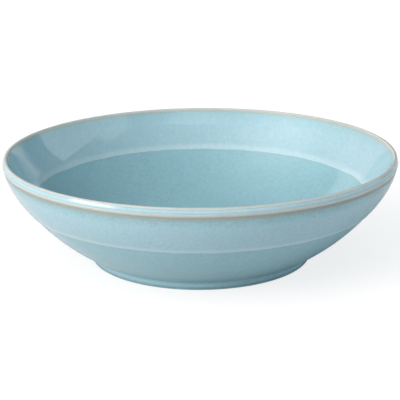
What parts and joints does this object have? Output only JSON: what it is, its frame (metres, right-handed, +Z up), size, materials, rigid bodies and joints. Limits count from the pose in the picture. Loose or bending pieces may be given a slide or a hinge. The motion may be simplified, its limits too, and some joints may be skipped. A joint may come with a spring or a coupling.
{
  "type": "serving bowl",
  "caption": "Round stoneware serving bowl with a crease ring in its flaring wall, a glazed rim band and a turned foot ring, for bringing food to the table.",
  "frame": {"origin": "centre of the foot ring's resting face", "axes": "+Z up along the bowl's axis of revolution; +X and +Y are any two square directions, as the bowl is round"},
  "size_m": [0.2998, 0.2998, 0.0815],
  "materials": {
    "stoneware": "fired stoneware, sealed by a thin glossy film at the rim and dry at the foot",
    "single_glaze": "glossy pale blue glaze, one coat",
    "double_glaze": "glossy pale blue glaze, two coats",
    "rim_glaze": "glossy light blue glaze, thick"
  },
  "bodies": {
    "root": {"stoneware_body": "stoneware", "well_glaze": "single_glaze", "inside_band_glaze": "double_glaze", "rim_band_glaze": "rim_glaze", "outside_band_glaze": "double_glaze", "lower_wall_glaze": "single_glaze", "underside_glaze": "single_glaze"}
  },
  "joints": []
}
